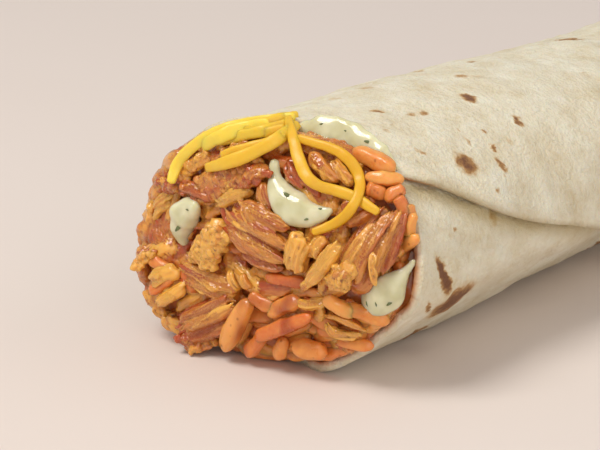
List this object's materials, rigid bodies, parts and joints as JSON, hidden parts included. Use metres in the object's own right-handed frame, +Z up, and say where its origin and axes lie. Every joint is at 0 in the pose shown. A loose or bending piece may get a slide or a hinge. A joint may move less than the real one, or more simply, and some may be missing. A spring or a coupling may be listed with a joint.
{
  "type": "burrito",
  "caption": "Rolled wheat tortilla, tucked shut at one end and cut open at the other, filled with shredded chicken, rice, cheese and creamy sauce.",
  "frame": {"origin": "middle of the burrito's footprint on the table: the bottom centre of its box", "axes": "+X along the roll, from the open end to the tucked end; +Z up; the tortilla's last edge lies on the -Y side"},
  "size_m": [0.1618, 0.0614, 0.0437],
  "materials": {
    "tortilla": "matt, floury wheat tortilla with browned griddle spots",
    "chicken": "moist shredded chicken in an orange-brown marinade",
    "rice": "moist orange seasoned long rice",
    "cheese": "soft shredded cheddar",
    "sauce": "glossy pale green cream sauce with herb flecks"
  },
  "bodies": {
    "root": {"tortilla": "tortilla", "chicken": "chicken", "rice": "rice", "cheese": "cheese", "sauce_top": "sauce", "sauce_middle": "sauce", "sauce_left": "sauce", "sauce_right": "sauce"}
  },
  "joints": []
}
